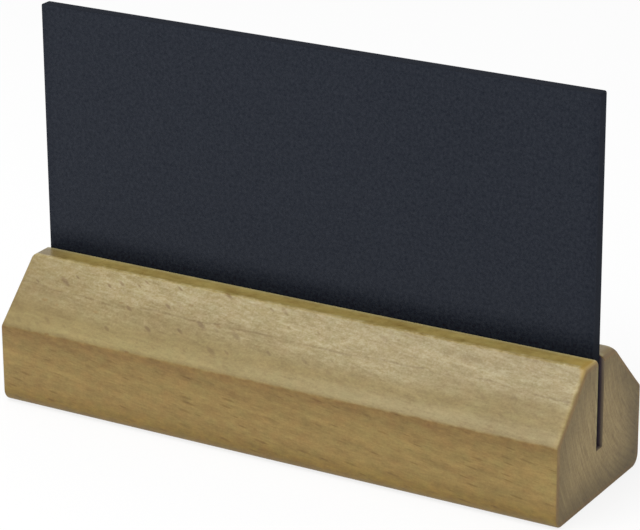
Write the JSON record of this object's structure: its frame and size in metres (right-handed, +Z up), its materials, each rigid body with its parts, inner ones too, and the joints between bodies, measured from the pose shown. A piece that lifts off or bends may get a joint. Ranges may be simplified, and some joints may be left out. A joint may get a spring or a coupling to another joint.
{
  "type": "table sign holder",
  "caption": "Table sign holder: a chamfered beech block with a saw slot along its top, and an upright matte chalkboard panel that lifts out of the slot.",
  "frame": {"origin": "centre of the block's underside, on the surface it stands on", "axes": "+X along the block's length, the sign faces -Y, +Z up"},
  "size_m": [0.15, 0.043, 0.0958],
  "materials": {
    "beech": "satin lacquered beech",
    "chalkboard": "matte charcoal writing surface, dark through to its edges"
  },
  "bodies": {
    "base": {"wooden_base": "beech"},
    "panel": {"chalkboard_panel": "chalkboard"}
  },
  "joints": [
    {"name": "panel_lift", "type": "slide", "parent": "base", "child": "panel", "axis": [0, 0, 1], "range_m": [0, 0.03]}
  ]
}
